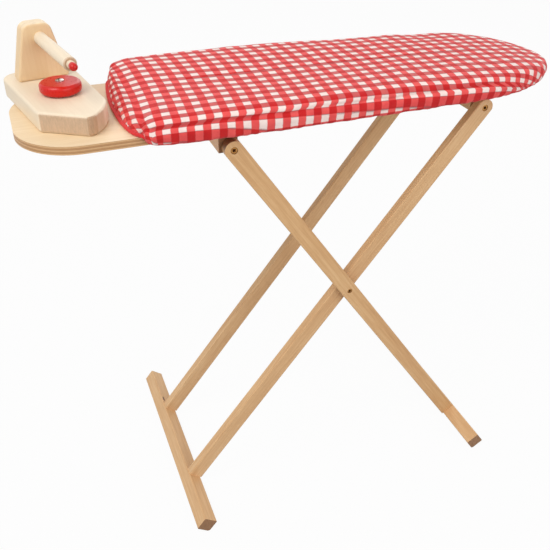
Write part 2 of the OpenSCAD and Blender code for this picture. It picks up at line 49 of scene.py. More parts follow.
# Where the board's end, its nose and the cover begin along x
BOARD_X0 = -(PANEL_L + WALL) / 2
NOSE_X = BOARD_X0 + PANEL_L - NOSE_L
COVER_X0 = BOARD_X0 + REST_L
CORNER_R = 30.0
# The share of the pad's height that is gone at the tip, and how far before the nose that begins
THIN_SHARE, THIN_RUN = 0.6, 60.0
IRON_TURN = math.radians(-79.6)
LEAN_OUT, LEAN_IN = math.radians(55.4), math.radians(52.1)

# The photo's camera: its place in m, its angles in radians and its lens in mm
CAMERA_AT = (-0.3675, -0.8452, 0.9330)
YAW, PITCH, ROLL = 0.3733, -0.5977, 0.0097
LENS = 47.04


def place_camera():
    data = bpy.data.cameras.new("camera")
    data.sensor_width = 36.0
    data.lens = LENS
    data.clip_end = 50
    camera = bpy.data.objects.new("camera", data)
    scene.collection.objects.link(camera)
    ahead = Vector((math.sin(YAW) * math.cos(PITCH), math.cos(YAW) * math.cos(PITCH), math.sin(PITCH)))
    level = ahead.cross(Vector((0, 0, 1))).normalized()
    upright = level.cross(ahead)
    right = level * math.cos(ROLL) + upright * math.sin(ROLL)
    up = -level * math.sin(ROLL) + upright * math.cos(ROLL)
    turn = Matrix((right, up, -ahead)).transposed().to_4x4()
    camera.matrix_world = Matrix.Translation(CAMERA_AT) @ turn
    scene.camera = camera


place_camera()


class Graph:
    """Short calls for building the node tree of a new material, or of the world."""

    def __init__(self, name, world=None):
        self.owner = world or bpy.data.materials.new(name)
        self.owner.use_nodes = True
        self.tree = self.owner.node_tree
        self.shader = self.tree.nodes["Background" if world else "Principled BSDF"]

    def add(self, kind, **settings):
        node = self.tree.nodes.new(kind)
        for key, value in settings.items():
            setattr(node, key, value)
        return node

    def put(self, socket, value):
        """Link an output to the socket, or set the socket to a plain value."""
        if hasattr(value, "is_linked"):
            self.tree.links.new(value, socket)
        else:
            socket.default_value = value

    def math(self, operation, a, b=0.0):
        node = self.add("ShaderNodeMath", operation=operation)
        self.put(node.inputs[0], a)
        self.put(node.inputs[1], b)
        return node.outputs[0]

    def vector(self, operation, a, b=(0, 0, 0), out="Vector"):
        node = self.add("ShaderNodeVectorMath", operation=operation)
        self.put(node.inputs[0], a)
        self.put(node.inputs[1], b)
        return node.outputs[out]

    def dot(self, a, b):
        return self.vector("DOT_PRODUCT", a, b, out="Value")

    def coords(self, kind="Object"):
        return self.add("ShaderNodeTexCoord").outputs[kind]

    def combine(self, x, y, z):
        node = self.add("ShaderNodeCombineXYZ")
        for socket, value in zip(node.inputs, (x, y, z)):
            self.put(socket, value)
        return node.outputs[0]

    def split(self, v):
        node = self.add("ShaderNodeSeparateXYZ")
        self.put(node.inputs[0], v)
        return node.outputs

    def noise(self, v, often, detail=3.0, rough=0.5, distort=0.0, scale=1.0):
        """Noise that changes as often per m along each axis as often says, times scale."""
        node = self.add("ShaderNodeTexNoise")
        for key, value in zip(("Vector", "Scale", "Detail", "Roughness", "Distortion"),
                              (self.vector("MULTIPLY", v, often), scale, detail, rough, distort)):
            self.put(node.inputs[key], value)
        return node.outputs["Fac"]

    def threads(self, v, way, scale, distort):
        """Fine bands across the direction way."""
        node = self.add("ShaderNodeTexWave", wave_type="BANDS", bands_direction=way)
        for key, value in zip(("Vector", "Scale", "Distortion"), (v, scale, distort)):
            self.put(node.inputs[key], value)
        return node.outputs["Fac"]

    def ramp(self, share, stops):
        node = self.add("ShaderNodeValToRGB")
        ramp = node.color_ramp
        while len(ramp.elements) < len(stops):
            ramp.elements.new(0.5)
        for element, (place, colour) in zip(ramp.elements, stops):
            element.position = place
            element.color = (*colour, 1)
        self.put(node.inputs[0], share)
        return node.outputs[0]

    def remap(self, v, a, b, c=0.0, d=1.0):
        """v carried over from the range a to b to the range c to d, and no further."""
        node = self.add("ShaderNodeMapRange")
        self.put(node.inputs["Value"], v)
        for key, value in zip(("From Min", "From Max", "To Min", "To Max"), (a, b, c, d)):
            self.put(node.inputs[key], value)
        return node.outputs[0]

    def mix(self, share, a, b):
        """Colour a, with share of colour b in its place."""
        node = self.add("ShaderNodeMix", data_type="RGBA")
        self.put(node.inputs[0], share)
        self.put(node.inputs[6], a if hasattr(a, "is_linked") else (*a, 1))
        self.put(node.inputs[7], b if hasattr(b, "is_linked") else (*b, 1))
        return node.outputs[2]

    def bump(self, height, strength, distance):
        node = self.add("ShaderNodeBump")
        for key, value in zip(("Strength", "Distance", "Height"), (strength, distance, height)):
            self.put(node.inputs[key], value)
        return node.outputs[0]

    def set(self, **values):
        """Set the shader's inputs, whose names are written with _ for a space."""
        for key, value in values.items():
            self.put(self.shader.inputs[key.replace("_", " ")], value)

    def surface(self, colour, rough, normal, **more):
        self.set(Base_Color=colour, Roughness=rough, Normal=normal, **more)
        return self.owner


def rgb(r, g, b):
    """A colour read as 0 to 255 display values, as the linear values that nodes take."""
    return tuple(((c / 255 + 0.055) / 1.055) ** 2.4 if c > 10.3 else c / 255 / 12.92 for c in (r, g, b))


def wood(name, along, tones, end_tone, seed=0.0, streak=1.0, joint_shade=None):
    """Planed wood whose grain runs in the direction along: streaks, short flecks, broad tone and end grain,
    and, where a place is given, a thin dark patch of painted shadow for the gap at a leg's end."""
    g = Graph(name)
    length = Vector(along).normalized()
    width = length.cross(Vector((0, 1, 0)))
    width = width.normalized() if width.length > 0.1 else Vector((0, 0, 1))
    p = g.coords()
    base = g.combine(*[g.dot(p, tuple(way)) for way in (length, width, length.cross(width))])
    shifted = g.vector("ADD", base, (seed, 1.7 * seed, 0.6 * seed))
    broad = g.noise(shifted, BROAD, 2.0)
    grain = g.noise(shifted, GRAIN, 3.0, 0.55, 0.3, GRAIN_SCALE)
    fleck = g.noise(shifted, FLECK, 1.0)
    tone = g.math("ADD", g.math("MULTIPLY", broad, 0.45), g.math("MULTIPLY", grain, 0.55 * streak))
    colour = g.ramp(tone, [(0.3, tones[0]), (0.5, tones[1]), (0.68, tones[2])])
    colour = g.mix(g.remap(fleck, 0.63, 0.72, 0.0, 0.30), colour, tones[0])
    facing = g.math("ABSOLUTE", g.dot(g.coords("Normal"), tuple(length)))
    ends = g.remap(facing, 0.55, 0.8, 0.0, 1.0)
    speck = g.noise(base, SPECK, 4.0, 0.7)
    pores = [x * 0.72 for x in end_tone]
    colour = g.mix(ends, colour, g.ramp(speck, [(0.3, pores), (0.6, end_tone)]))
    if joint_shade is not None:
        # Painted shadow: a thin dark patch for the gap between the inner leg's end and the foot bar
        off = g.vector("MULTIPLY", g.vector("SUBTRACT", p, joint_shade), (1 / JOINT_SHADE_W, 1 / JOINT_SHADE_L, 1 / JOINT_SHADE_L))
        in_joint_shade = g.remap(g.vector("LENGTH", off, out="Value"), 0.4, 0.55, 1.0, 0.0)
        colour = g.mix(in_joint_shade, colour, rgb(84, 46, 24))
    rough = g.remap(grain, 0.3, 0.7, 0.38, 0.52)
    normal = g.bump(g.math("ADD", grain, g.math("MULTIPLY", fleck, 0.25)), 0.1, 0.0002)
    return g.surface(colour, rough, normal, Specular_IOR_Level=WOOD_SHINE)


# How often the wood's broad tone, grain, flecks and end pores change per m, along the grain and across it
BROAD, GRAIN, GRAIN_SCALE = (3.0, 34.0, 34.0), (9.0, 190.0, 190.0), 2.2
FLECK, SPECK = (130.0, 1500.0, 1500.0), (60.0, 130.0, 700.0)
WOOD_SHINE = 0.35
# The painted shadow in the gap where the inner leg's end meets the foot bar at the rest's end: its width,
# length and place in m
JOINT_SHADE_W, JOINT_SHADE_L = 0.0026, 0.012
JOINT_SHADE_AT = (-0.2094, 0.0976, 0.0266)

# Dark, middle and light tones of each wood
BEECH = [rgb(196, 150, 104), rgb(214, 172, 125), rgb(226, 189, 144)]
BEECH_END = rgb(150, 108, 72)
# The batten's beech, lighter than the legs' beech: painted light that offsets the board's shadow over it
BATTEN_PAINTED_LIGHT = [rgb(226, 172, 122), rgb(240, 192, 142), rgb(248, 206, 160)]
PALE = [rgb(229, 211, 184), rgb(237, 221, 196), rgb(243, 230, 208)]
PALE_END = rgb(196, 160, 128)
PLATE = [rgb(227, 195, 151), rgb(237, 210, 170), rgb(244, 221, 186)]
# The near outer leg's beech, darker and more orange than the other legs': painted shade
NEAR_LEG_PAINTED_SHADE = [rgb(191, 143, 95), rgb(209, 165, 116), rgb(222, 183, 135)]


# The panel's plies, of which every second one is darker at the edge, and how far their lines wander in plies
PLIES, PLY_WANDER = 5, 0.16
# How often its face grain, patches, wandering lines and edge streaks change per m
FACE, PATCH, WANDER, STREAK = (7.0, 130.0, 1.0), (6.0, 18.0, 1.0), (40.0, 40.0, 40.0), (260.0, 260.0, 1500.0)
FACE_SCALE = 2.0


def plywood():
    """Birch plywood: a fine pale face, and plies with dark glue lines along the edge."""
    g = Graph("plywood")
    p = g.coords()
    z = g.split(p)[2]
    facing = g.split(g.coords("Normal"))[2]
    face = g.noise(p, FACE, 5.0, 0.6, 0.4, FACE_SCALE)
    patch = g.noise(p, PATCH, 2.0)
    tone = g.math("ADD", g.math("MULTIPLY", face, 0.6), g.math("MULTIPLY", patch, 0.4))
    top = g.ramp(tone, [(0.30, rgb(224, 196, 156)), (0.52, rgb(232, 207, 170)), (0.72, rgb(239, 218, 187))])
    ply = g.math("MULTIPLY", g.math("SUBTRACT", z, (PANEL_Z - PANEL_T) * MM), PLIES / (PANEL_T * MM))
    wander = g.math("MULTIPLY", g.math("SUBTRACT", g.noise(p, WANDER), 0.5), PLY_WANDER)
    layer = g.math("FRACT", g.math("MULTIPLY", g.math("ADD", ply, wander), 0.5))
    edge = g.ramp(layer, [(0.0, rgb(214, 174, 128)), (0.44, rgb(208, 166, 120)), (0.5, rgb(116, 74, 44)),
                          (0.56, rgb(182, 136, 92)), (0.94, rgb(188, 142, 96)), (1.0, rgb(122, 80, 48))])
    streak = g.noise(p, STREAK, 3.0, 0.6)
    edge = g.mix(g.remap(streak, 0.45, 0.75, 0.0, 0.35), edge, rgb(172, 126, 82))
    side = g.remap(g.math("ABSOLUTE", facing), 0.35, 0.65, 1.0, 0.0)
    colour = g.mix(side, top, edge)
    rough = g.remap(face, 0.3, 0.7, 0.4, 0.5)
    normal = g.bump(g.mix(side, (0.5, 0.5, 0.5), edge), 0.3, 0.0003)
    return g.surface(colour, rough, normal, Specular_IOR_Level=WOOD_SHINE)


# The check's repeat in m, and how far its stripes sway and fray, in repeats
CHECK, STRIPE_SWAY, FRAY = 0.0195, 0.09, 0.05
# How often the columns' and rows' sway, the fray, the blotches and the slubs change per m of cloth
COLUMN_SWAY, ROW_SWAY = (17.0, 17.0, 0.0), (15.0, 15.0, 0.0)
THREAD, BLOTCH, SLUB = (1900.0, 1900.0, 0.0), (60.0, 60.0, 0.0), (90.0, 900.0, 0.0)
# The rows' sway is taken this far off in m, so that it differs from the columns'
ROW_START = (0.26667, 0.13333, 0.0)
# Above the panel's top, in mm: where the red row along the hem ends, and where the painted light on the top
# begins
HEM_ROW, TOP_PAINTED_LIGHT = (-5.5, -4.5), (8.0, 17.0)


def stripes(g, place, sway, fray):
    """1 on the red half of each repeat of place, and 1 in a thin line along each of its edges."""
    place = g.math("ADD", place, g.math("MULTIPLY", g.math("SUBTRACT", sway, 0.5), STRIPE_SWAY))
    place = g.math("ADD", place, fray)
    saw = g.math("ABSOLUTE", g.math("SUBTRACT", g.math("FRACT", g.math("ADD", place, 0.5)), 0.5))
    edge = g.math("ABSOLUTE", g.math("SUBTRACT", saw, 0.25))
    return g.remap(saw, 0.232, 0.268), g.remap(edge, 0.0, 0.055, 1.0, 0.0)


def gingham():
    """Woven cotton with even red and white stripes both ways, which cross as full red and as half tones."""
    g = Graph("gingham")
    uv = g.add("ShaderNodeUVMap", uv_map="cloth").outputs[0]
    place = g.split(g.vector("MULTIPLY", uv, (1 / CHECK, 1 / CHECK, 0.0)))
    fray = g.math("MULTIPLY", g.math("SUBTRACT", g.noise(uv, THREAD, 1.0), 0.5), FRAY)
    column, column_edge = stripes(g, place[0], g.noise(uv, COLUMN_SWAY, 2.0), fray)
    row, row_edge = stripes(g, place[1], g.noise(g.vector("ADD", uv, ROW_START), ROW_SWAY, 2.0), fray)
    # A red row runs along the hem, and the greyer red of painted light shows on the top alone
    height = g.split(g.coords())[2]
    row = g.math("MAXIMUM", row, g.remap(height, *[(PANEL_Z + z) * MM for z in HEM_ROW], 1.0, 0.0))
    painted_top_light = g.remap(height, *[(PANEL_Z + z) * MM for z in TOP_PAINTED_LIGHT])
    blotch = g.remap(g.noise(uv, BLOTCH), 0.3, 0.7)
    white = g.mix(blotch, rgb(242, 218, 211), rgb(248, 229, 222))
    half = g.mix(blotch, rgb(226, 76, 76), rgb(238, 92, 88))
    full = g.mix(blotch, rgb(192, 24, 28), rgb(207, 33, 33))
    # The stripes along the board get a greyer red than those across it on the top alone: painted light
    grey = g.mix(blotch, rgb(198, 84, 84), rgb(212, 99, 96))
    colour = g.mix(column, white, half)
    colour = g.mix(row, colour, g.mix(painted_top_light, half, grey))
    colour = g.mix(g.math("MULTIPLY", column, row), colour, full)
    # Dark lines where a white check ends across the board, and a fainter edge along it
    across = g.math("MULTIPLY", row_edge, g.math("SUBTRACT", 1.0, column))
    colour = g.mix(g.math("MULTIPLY", across, 0.66), colour, rgb(116, 62, 68))
    colour = g.mix(g.math("MULTIPLY", column_edge, 0.16), colour, rgb(120, 52, 58))
    # Warp and weft threads
    weave = g.math("MAXIMUM", g.threads(uv, "X", 420.0, 0.6), g.threads(uv, "Y", 420.0, 0.6))
    colour = g.mix(g.remap(weave, 0.0, 0.5, 0.14, 0.0), colour, rgb(110, 40, 44))
    slub = g.noise(uv, SLUB, 2.0)
    normal = g.bump(g.math("ADD", weave, g.math("MULTIPLY", slub, 0.6)), 0.35, 0.00025)
    return g.surface(colour, g.remap(slub, 0.3, 0.7, 0.78, 0.92), normal,
                     Sheen_Weight=0.12, Sheen_Roughness=0.5, Specular_IOR_Level=0.2)


def tape():
    """Red cotton binding tape, ribbed across its length."""
    g = Graph("binding_tape")
    p = g.coords()
    rib = g.threads(p, "Y", 500.0, 1.0)
    blotch = g.noise(p, (90, 90, 90))
    colour = g.mix(blotch, rgb(208, 26, 30), rgb(228, 44, 44))
    colour = g.mix(g.remap(rib, 0.0, 0.6, 0.22, 0.0), colour, rgb(140, 12, 20))
    return g.surface(colour, 0.85, g.bump(rib, 0.4, 0.0003), Sheen_Weight=0.15)


def foam():
    """Open-celled foam, off-white with small pores."""
    g = Graph("foam")
    p = g.coords()
    cells = g.add("ShaderNodeTexVoronoi", feature="DISTANCE_TO_EDGE")
    g.put(cells.inputs["Vector"], p)
    cells.inputs["Scale"].default_value = 900.0
    tone = g.noise(p, (50, 50, 50))
    colour = g.mix(tone, rgb(232, 228, 214), rgb(244, 241, 230))
    colour = g.mix(g.remap(cells.outputs["Distance"], 0.0, 0.25, 0.25, 0.0), colour, rgb(190, 184, 168))
    return g.surface(colour, 0.95, g.bump(cells.outputs["Distance"], 0.5, 0.0005))


def gloss_paint():
    """Glossy red paint over turned wood, with a little orange peel and faint tone changes."""
    g = Graph("red_gloss_paint")
    p = g.coords()
    tone = g.noise(p, (35, 35, 35), 2.0)
    peel = g.noise(p, (420, 420, 420), 2.0)
    colour = g.mix(tone, rgb(192, 14, 5), rgb(206, 22, 8))
    return g.surface(colour, g.remap(peel, 0.3, 0.7, 0.26, 0.34), g.bump(peel, 0.03, 0.0002),
                     Specular_IOR_Level=0.3, Coat_Weight=0.12, Coat_Roughness=0.1)


def steel(name, light, dark, rough, head=None):
    """Plated steel with fine turning marks and tarnish, and where head gives the x, z and radius of a screw
    head, painted shade in its middle and at its rim, for its cross recess and its countersink."""
    g = Graph(name)
    p = g.coords()
    mark = g.noise(p, (900, 900, 900))
    blotch = g.noise(p, (180, 180, 180))
    colour = g.mix(g.remap(blotch, 0.35, 0.7), light, dark)
    if head is not None:
        x, z, radius = head
        off = g.vector("MULTIPLY", g.vector("SUBTRACT", p, (x, 0, z)), (1 / radius, 0, 1 / radius))
        off = g.vector("LENGTH", off, out="Value")
        # Painted shade: dark in the middle for the cross recess, and at the rim for the countersink
        colour = g.mix(g.remap(off, 0.3, 0.6, 1.0, 0.0), colour, rgb(64, 28, 12))
        colour = g.mix(g.remap(off, 0.78, 0.95, 0.0, 0.8), colour, rgb(72, 40, 20))
    rough = g.remap(mark, 0.3, 0.7, rough - 0.08, rough + 0.1)
    return g.surface(colour, rough, g.bump(mark, 0.2, 0.0001), Metallic=1.0)


def paint(node, material):
    """Put the material in all slots of a CAD node."""
    slots = nodes[node].data.materials
    if len(slots) == 0:
        slots.append(material)
    for i in range(len(slots)):
        slots[i] = material


# Directions of the grain of the outer legs, the inner legs, and the iron
OUTER_GRAIN = (math.cos(LEAN_OUT), 0, -math.sin(LEAN_OUT))
INNER_GRAIN = (-math.cos(LEAN_IN), 0, -math.sin(LEAN_IN))
IRON_GRAIN = (math.cos(IRON_TURN), math.sin(IRON_TURN), 0)

paint("panel", plywood())
paint("outer_leg_near", wood("beech_outer_near_painted_shade", OUTER_GRAIN, NEAR_LEG_PAINTED_SHADE, BEECH_END, 0.31))
paint("outer_leg_far", wood("beech_outer_far", OUTER_GRAIN, BEECH, BEECH_END, 1.27))
paint("inner_leg_near", wood("beech_inner_near", INNER_GRAIN, BEECH, BEECH_END, 2.13))
paint("inner_leg_far", wood("beech_inner_far", INNER_GRAIN, BEECH, BEECH_END, 3.71))
paint("hinge_batten", wood("beech_hinge_batten", (0, 1, 0), BATTEN_PAINTED_LIGHT, BEECH_END, 0.5))
paint("inner_foot_bar", wood("beech_inner_foot_bar", (0, 1, 0), BEECH, BEECH_END, 5.2, joint_shade=JOINT_SHADE_AT))
for name, seed in (("catch_rail", 1.5), ("inner_crossbar", 2.6), ("outer_foot_bar", 4.4)):
    paint(name, wood("beech_" + name, (0, 1, 0), BEECH, BEECH_END, seed))
paint("iron_sole", wood("pale_iron_sole", IRON_GRAIN, PALE, PALE_END, 0.8, 0.55))
paint("iron_heel_plate", wood("pale_iron_heel_plate", (0, 0, 1), PLATE, PLATE[2], 1.9, 0.45))
paint("iron_handle", wood("pale_iron_handle", IRON_GRAIN, PALE, PALE_END, 2.7, 0.55))
paint("handle_peg", wood("pale_handle_peg", IRON_GRAIN, PALE, PALE_END, 3.3, 0.55))
red = gloss_paint()
paint("iron_knob", red)
paint("peg_tip", red)
dark_steel = steel("dark_screw_steel", rgb(120, 98, 78), rgb(58, 44, 34), 0.42)
bright_steel = steel("bright_screw_steel", rgb(205, 203, 198), rgb(150, 146, 140), 0.3)
for name in nodes:
    if "screw" in name or "washer" in name:
        paint(name, bright_steel if name.startswith("knob") else dark_steel)
# The screws through the legs: x, z and radius of their heads in m
LEG_SCREWS = {"outer_pivot": (-0.1285, 0.5775, 0.0045), "crossbar": (0.2308, 0.5775, 0.0045),
              "crossing": (0.0403, 0.3328, 0.0037)}
for kind, head in LEG_SCREWS.items():
    brass = steel("brass_" + kind + "_screws", rgb(196, 144, 84), rgb(146, 100, 54), 0.42, head)
    for side in ("near", "far"):
        paint(kind + "_screw_" + side, brass)


def corner_run(x, y):
    """Distance along the cover's outline past the panel's side edge, below zero on the end wall."""
    y = np.abs(y)
    inner = PANEL_W / 2 + WALL - CORNER_R
    start = math.asin((PANEL_W / 2 - inner) / CORNER_R)
    turn = np.arcsin(np.clip((y - inner) / CORNER_R, -1, 1))
    on_arc = np.where(y < inner, y - inner, CORNER_R * turn) - CORNER_R * start
    side = CORNER_R * (math.pi / 2 - start) + x - (COVER_X0 + CORNER_R)
    return np.where(x < COVER_X0 + CORNER_R, on_arc, side)


# The outline's points on the nose, each side, each corner and the end before it is divided evenly, and after
NOSE_POINTS, SIDE_POINTS, CORNER_POINTS, END_POINTS, EVEN_POINTS = 150, 110, 26, 150, 560
# How far the sides and the end bow out, in mm
SIDE_BOW, END_BOW = 1.5, 1.0


def outline():
    """The cover's outline as evenly spaced points, outward normals and arc length, anticlockwise."""
    half = PANEL_W / 2 + WALL
    inner = half - CORNER_R
    x1 = COVER_X0 + CORNER_R
    power = 2 / NOSE_POWER
    points = []
    for i in range(NOSE_POINTS + 1):
        t = math.radians(-90 + 180 * i / NOSE_POINTS)
        c, s = abs(math.cos(t)), math.sin(t)
        points.append((NOSE_X + (NOSE_L + WALL) * c ** power, math.copysign(half * abs(s) ** power, s)))
    for i in range(1, SIDE_POINTS):
        t = i / SIDE_POINTS
        points.append((NOSE_X + (x1 - NOSE_X) * t, half + SIDE_BOW * math.sin(math.pi * t)))
    for i in range(CORNER_POINTS):
        t = math.radians(90 + 90 * i / CORNER_POINTS)
        points.append((x1 + CORNER_R * math.cos(t), inner + CORNER_R * math.sin(t)))
    for i in range(END_POINTS + 1):
        y = inner - 2 * inner * i / END_POINTS
        points.append((COVER_X0 - END_BOW * math.cos(math.pi / 2 * y / inner), y))
    for i in range(1, CORNER_POINTS + 1):
        t = math.radians(180 + 90 * i / CORNER_POINTS)
        points.append((x1 + CORNER_R * math.cos(t), -inner + CORNER_R * math.sin(t)))
    for i in range(SIDE_POINTS - 1, 0, -1):
        t = i / SIDE_POINTS
        points.append((NOSE_X + (x1 - NOSE_X) * t, -half - SIDE_BOW * math.sin(math.pi * t)))
    points = np.array(points)
    loop = np.vstack([points, points[:1]])
    run = np.concatenate([[0], np.cumsum(np.linalg.norm(np.diff(loop, axis=0), axis=1))])
    at = np.arange(EVEN_POINTS) * run[-1] / EVEN_POINTS
    even = np.stack([np.interp(at, run, loop[:, k]) for k in (0, 1)], 1)
    tangent = np.roll(even, -2, 0) - np.roll(even, 2, 0)
    tangent /= np.linalg.norm(tangent, axis=1)[:, None]
    normal = np.stack([tangent[:, 1], -tangent[:, 0]], 1)
    return even, normal, at, run[-1]


# How far back the end wall's foot lies at the panel's far and near edge, and the powers of its curve
ARC_FAR, ARC_NEAR, FAR_POWER, NEAR_POWER = 9.5, 10.2, 1.7, 4


def end_arc(y):
    """How far the end wall's foot lies back from its middle, which bulges towards the iron."""
    t = np.abs(y) / (PANEL_W / 2)
    return np.where(np.asarray(y) > 0, ARC_FAR * t ** FAR_POWER, ARC_NEAR * t ** NEAR_POWER)


def smooth(v, a, b):
    """0 up to a, 1 from b on, and a smooth step between them."""
    t = np.clip((v - a) / (b - a), 0, 1)
    return t * t * (3 - 2 * t)


# How much higher the pad stands at its far corner, and the share of that on the near side
FAR_HIGH, NEAR_SHARE = 5.2, 0.3
# Between these places along x the corner's extra height and bulge fade out
FADE_FROM, FADE_TO = -60.0, 170.0
# The dip beyond it: its depth, its place along x and its width
DIP, DIP_X, DIP_W = 2.3, 225.0, 28.0
# Where these grow: the extra height along from the cover's end and across, and the dip across
HIGH_RUN, HIGH_ACROSS, DIP_ACROSS = (-5, 45), (-40, 80), (20, 95)


def rest_side(x):
    """1 on the part of the board towards the rest, and 0 towards the tip."""
    return 1 - smooth(x, FADE_FROM, FADE_TO)


def puff(x, y):
    """How much higher the pad stands towards its far corner, and the dip beyond it."""
    high = FAR_HIGH * rest_side(x) * smooth(x - COVER_X0, *HIGH_RUN)
    high = high * (NEAR_SHARE + (1 - NEAR_SHARE) * smooth(y, *HIGH_ACROSS))
    return high - DIP * np.exp(-((x - DIP_X) / DIP_W) ** 2) * smooth(y, *DIP_ACROSS)


def tip_share(x):
    """0 along the board, and growing to 1 at the cover's tip."""
    return np.clip((x - NOSE_X + THIN_RUN) / (NOSE_L + WALL + THIN_RUN), 0, 1)


def thinned(x):
    """The share of the pad's height that is left at x."""
    return 1 - THIN_SHARE * tip_share(x) ** 3


# The ends of the line in the board's middle to which the rings shrink
MIDDLE_FROM, MIDDLE_TO = COVER_X0 + 90, NOSE_X + 75


def middle_line(edge):
    """The places on the board's middle line, in mm, towards which the rings from the edge shrink."""
    return np.column_stack([np.clip(edge[:, 0], MIDDLE_FROM, MIDDLE_TO), np.zeros(len(edge))])


def wave(at, total, low, high, seed):
    """Waves with low up to, but not including, high periods in the length total, between -1 and 1."""
    rng = np.random.default_rng(seed)
    out = np.zeros_like(at)
    for k in range(low, high):
        out += rng.normal() * np.cos(2 * math.pi * k * at / total + rng.uniform(0, 6.28))
    return out / np.abs(out).max()


# Height above the panel's top, its height at the tip before thinning, and inset: from the hem's inner
# edge under the panel, round the wall, to the shoulder
PROFILE = [
    (-11.2, -11.0, 25.0), (-11.6, -11.3, 22.0), (-11.8, -11.4, 17.0), (-11.5, -11.0, 12.0),
    (-10.6, -9.6, 7.0), (-8.9, -7.8, 3.8), (-6.8, -5.6, 1.9), (-4.3, -3.0, 1.0), (-1.8, -0.8, 0.5),
    (0.8, 1.8, 0.0), (4.0, 4.6, 0.0), (7.6, 8.0, 0.4), (9.6, 9.8, 0.8), (11.2, 11.4, 1.1),
    (12.8, 12.9, 1.5), (14.4, 14.4, 2.0), (17.2, 17.2, 3.2), (19.4, 19.4, 5.2), (20.9, 20.9, 8.0),
    (22.0, 22.0, 12.0), (22.7, 22.7, 17.0)
]
# The last row of the profile that lies below the panel's top, and the height above it where the wall ends
BELOW, WALL_RISE = 8, 18.0
# On the end wall the hem lies on the panel instead: its height, how far it rises, and how far in it reaches
FOOT_Z, FOOT_RISE, FOOT_IN = 0.5, 2.2, 3.4
# How far the hem's small waves and slow waves move it in, and up
HEM_IN, HEM_UP = (0.8, 0.5), (0.3, 0.5)
# How far the gathers at the end wall's foot go in and out, and how far it bulges out and leans in at the top
GATHER, END_BULGE, END_LEAN = 3.0, 1.2, 4.4
# How far in the gathers' middle lies, the heights between which they begin, and the shares of them and of
# the foot's arc that are gone at the wall's top
GATHER_IN, GATHER_FOOT, GATHER_GONE, ARC_GONE = 0.8, (-1, 3), 0.85, 0.65
# The height over which the bulge falls off, and how far the slow waves move the lean and the crease
BULGE_H, LEAN_WAVE, CREASE_WAVE = 7, 0.6, 1.2
# The crease along the wall and the nip above the hem: depth, height above the panel and width
CREASE, CREASE_Z, CREASE_W = 2.3, 12.0, 1.9
NIP, NIP_Z, NIP_W = 0.5, -1.5, 1.6
# Between these places along x the crease fades out
CREASE_FROM, CREASE_TO = 180.0, 280.0
# How far the far shoulder bulges out, and where that grows: along from the cover's end, and across
FAR_BULGE, BULGE_RUN, BULGE_ACROSS = 4.2, (0, 45), (60, 100)
# Waves round the outline: the fewest periods in its length, the first number that is too many, and the seed
HEM_WAVES, SLOW_WAVES, GATHER_WAVES = (50, 150, 3), (10, 34, 5), (70, 190, 11)
# Where the side wall becomes the end wall, in distances out from the cover's end
END_EDGE = (-16, -2)
# The hem turns under the panel over this length, and begins a little before the end wall's corners
WRAP_RUN, WRAP_EARLY = 26.0, 2
# How far the cloth keeps off the panel's side edge, its least room there, and the shares of the turn between
# which it comes to lie under the panel
EDGE_GAP, LEAST_ROOM, UNDER_TURN = 0.5, 0.8, (0.8, 0.95)
# Between these rows of the profile the hem's waves fade out
LOOSE_ROWS = (3, 9)
# Rings of the top past the shoulder, and the width over which the top rises to its full height
TOP_RINGS, SHOULDER = 15, 34.0
# The profile's row where the foam's lumps begin, and in how many rows they grow to their full height
LUMPS_FROM, LUMP_ROWS = 11, 6
# Lumps of the foam, small lumps, and folds by the end wall: height, length and width in mm, and noise layer
LUMPS, SMALL_LUMPS, FOLDS = (0.8, 46, 40, 1.3), (0.35, 19, 22, 7.1), (0.9, 60, 9, 2.0)
# How far past the cover's end those folds are highest, and the run over which they fall off
FOLDS_AT, FOLDS_RUN = 8, 26


def uneven(x, y, high, long, wide, layer):
    """Uneven ground at x, y, whose lumps have this height, length and width."""
    return high * noise.noise(Vector((x / long, y / wide, layer)))


